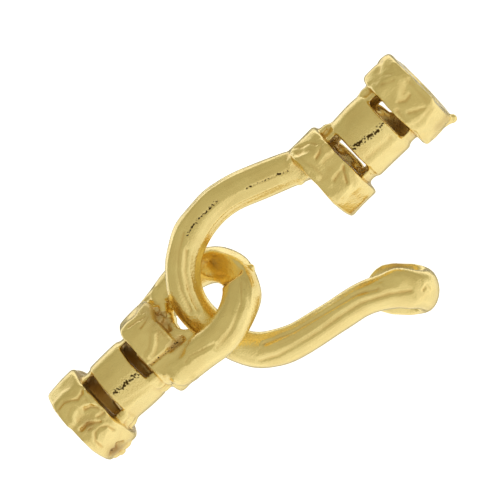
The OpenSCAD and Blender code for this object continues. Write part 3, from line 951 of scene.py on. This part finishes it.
# A low ridge that runs on from the loop's upper root over the base band.
ROOT_RIDGE = (0.35, -0.2, [(-8.7, 2.2), (-9.5, 1.75), (-10.4, 1.5), (-11.1, 1.3)])
# Pitted places, which are the middle bands' rough crests and the hook's root: (share, place, radius).
PITTED_ALL_OVER = 0.3
HOOK_PITS = [(0.7, (14.2, 3.4, 6.85), 1.7), (0.5, HOOK_ROOT + (-0.5, 0, 1), 1.2)]
EYE_PITS = [(0.7, (-14.0, 2.4, 6.9), 1.9)]
# Rough places whose colour is darkened towards brown as painted shade, in crevices, folds, the notch, a slot
# and beside the seam: (radius, share, x, y), and the share of painted shade in the bores.
HOOK_SHADED_DULLS = [(0.6, 0.25, 19.9, 0.3), (0.5, 0.25, 18.9, 0.3), (0.8, 0.5, 16.4, 2.9)]
EYE_SHADED_DULLS = [
    (0.7, 0.55, -18.6, -0.4), (0.5, 0.4, -19.2, -0.3), (0.5, 0.4, -18.8, 2.7), (1.1, 0.3, -8.4, 4.6),
    (1.3, 0.35, -8.2, 5.4), (0.45, 0.5, -9.1, 2.45), (0.4, 0.3, -8.5, 2.5),
]
HOOK_BORE_SHADE = 0.24
EYE_BORE_SHADE = 0.42


def rough_casting(node_name, grains, lumps, finish, grain_tree):
    """A node's form with its grains and run-over metal under one even skin."""
    form = voxel_mesh(node_form(node_name))
    rough = [grains_on(form, grain_tree, finish, *row) for row in grains]
    return Casting(voxel_mesh(joined([form, *rough, *lumps])))


def file_bands(skin, socket, tops, facets):
    """The flat tops of the base and end bands, and the facets of the middle one."""
    middle = socket.in_band(skin, "middle")
    for band, place, lean in tops:
        skin.file_flat(socket.at(*place), UP + lean, socket.in_band(skin, band))
    for along, degrees, distance in facets:
        outward = socket.at(0, degrees, 1) - socket.base
        skin.file_flat(socket.at(along, degrees, distance), outward, middle)


def slope_bend(skin):
    """The broad flat on the loop's bend."""
    x, y = skin.points[:, :2].T
    sloped = ease((y - 2.85 + 0.15 * (x + 1)) / 0.35) * ease((6.6 - y) / 0.8) * ease((x + 3.9) / 0.8)
    skin.cut(BEND_FLAT, BEND_FACING, sloped)


def mark(skin, creases, dents, pit_and_shade_lines):
    """The tool marks on a finished form."""
    for width, depth, path in creases:
        skin.crease(width, depth, path)
    for radius, depth, x, y in dents:
        skin.dent(radius, depth, x, y)
    for width, path in pit_and_shade_lines:
        skin.pit_and_shade_line(width, path)
    skin.normals()


def pits_and_painted_shade(skin, socket, pits, bore_shade, shaded_dulls):
    """The pitted places of a finished form, and the painted shade that darkens its bores and its rough, dull
    places.
    """
    pitted = sum(share * skin.around(place, radius) for share, place, radius in pits)
    skin.pitted = PITTED_ALL_OVER + pitted
    skin.shade_and_tarnish = bore_shade * socket.in_bore(skin)
    for dull in shaded_dulls:
        skin.dull(*dull)


def make_hook_half(finish, grain_tree):
    """The banded socket, the hook's wire and its curled end."""
    socket = Socket("hook_cord_hole", HOOK_BANDS)
    runs = [nub(socket.at(*place), radius, stretch) for place, radius, stretch in HOOK_SOCKET_RUNS]
    skin = rough_casting("hook_half", HOOK_GRAINS, runs, finish, grain_tree)
    ends = socket.in_band(skin, "base") + socket.in_band(skin, "end")
    file_bands(skin, socket, HOOK_TOPS, HOOK_FACETS)
    hammer(skin, socket, "base", blows=17, depth=0.12, seed=3)
    hammer(skin, socket, "end", blows=15, depth=0.1, seed=5)
    skin.normals()
    skin.patches(spacing=2.0, flat=0.035, tilt=0.04, step=0.02, seed=31, where=np.clip(ends, 0, 1))
    # The middle band's back rail stands out a little.
    skin.pull(socket.at(5.8, 88, 2.95), 1.8, (0, 0.15, 0))
    for pull in HOOK_PULLS:
        skin.pull(*pull)
    skin = skin.recast([nub(*lump) for lump in HOOK_LUMPS], HOOK_VOXEL)
    skin.smooth(5, keep=0.3)
    skin.smooth(26, skin.around(HOOK_ROOT, 1.5))
    skin.normals()
    skin.flute(HOOK_LINE, depth=0.016, counts=(3, 5, 6, 8, 11), seed=41)
    skin.ripple(amplitude=0.02, wavelength=3.4, seed=21)
    skin.normals()
    mark(skin, HOOK_CREASES, HOOK_DENTS, HOOK_PIT_AND_SHADE_LINES)
    pits_and_painted_shade(skin, socket, HOOK_PITS, HOOK_BORE_SHADE, HOOK_SHADED_DULLS)
    # Painted shadow: the low, curled end under the tip is darkened towards brown.
    skin.shade_and_tarnish += 0.5 * skin.around(CURLED_END, 1.2)
    return skin.finish("hook_half", finish, "gold_plate")


def make_eye_half(finish, grain_tree):
    """The banded socket and the eye's loop."""
    socket = Socket("eye_cord_hole", EYE_BANDS)
    runs = [nub(*run) for run in EYE_ROOT_RUNS]
    runs += [nub(socket.at(*place), radius, stretch) for place, radius, stretch in EYE_SOCKET_RUNS]
    skin = rough_casting("eye_half", EYE_GRAINS, runs, finish, grain_tree)
    ends = socket.in_band(skin, "base") + socket.in_band(skin, "end")
    file_bands(skin, socket, EYE_TOPS, EYE_FACETS)
    slope_bend(skin)
    corner = socket.at(*WORN_CORNER)
    skin.cut(corner, WORN_FACING, skin.around(corner, 1.2))
    hammer(skin, socket, "base", blows=17, depth=0.12, seed=4)
    hammer(skin, socket, "end", blows=15, depth=0.12, seed=6)
    skin.normals()
    skin.patches(spacing=1.9, flat=0.04, tilt=0.045, step=0.025, seed=32, where=np.clip(ends, 0, 1))
    for pull in EYE_PULLS:
        skin.pull(*pull)
    skin = skin.recast([nub(*lump) for lump in EYE_LUMPS])
    skin.smooth(5, keep=0.3)
    skin.normals()
    skin.crease(*ROOT_RIDGE)
    for *place, radius in EYE_SMOOTHED:
        skin.smooth(30, skin.around(place, radius))
    skin.smooth(6, skin.around(LOOP_ROOTS[1], 1.1))
    skin.normals()
    skin.flute(LOOP_LINE, depth=0.012, counts=(3, 5, 7, 10), seed=42)
    skin.ripple(amplitude=0.02, wavelength=3.4, seed=22)
    skin.normals()
    mark(skin, EYE_CREASES, EYE_DENTS, EYE_PIT_AND_SHADE_LINES)
    # The crevice runs out softly beside the loop's upper root.
    skin.smooth(14, skin.around(skin.on_top(-8.55, 2.65), 0.45))
    skin.normals()
    pits_and_painted_shade(skin, socket, EYE_PITS, EYE_BORE_SHADE, EYE_SHADED_DULLS)
    return skin.finish("eye_half", finish, "gold_plate")


# The scene
towards_camera = make_camera()
make_tent(towards_camera)
make_floor()
gold = gold_plate()
grain_tree = make_grain_tree()
for piece in (make_hook_half(gold, grain_tree), make_eye_half(gold, grain_tree)):
    piece.data.calc_loop_triangles()
    print(piece.name, "triangles", len(piece.data.loop_triangles))

view = bpy.context.scene.view_settings
view.view_transform = "Standard"
view.look = "None"
view.exposure = 0
view.gamma = 1
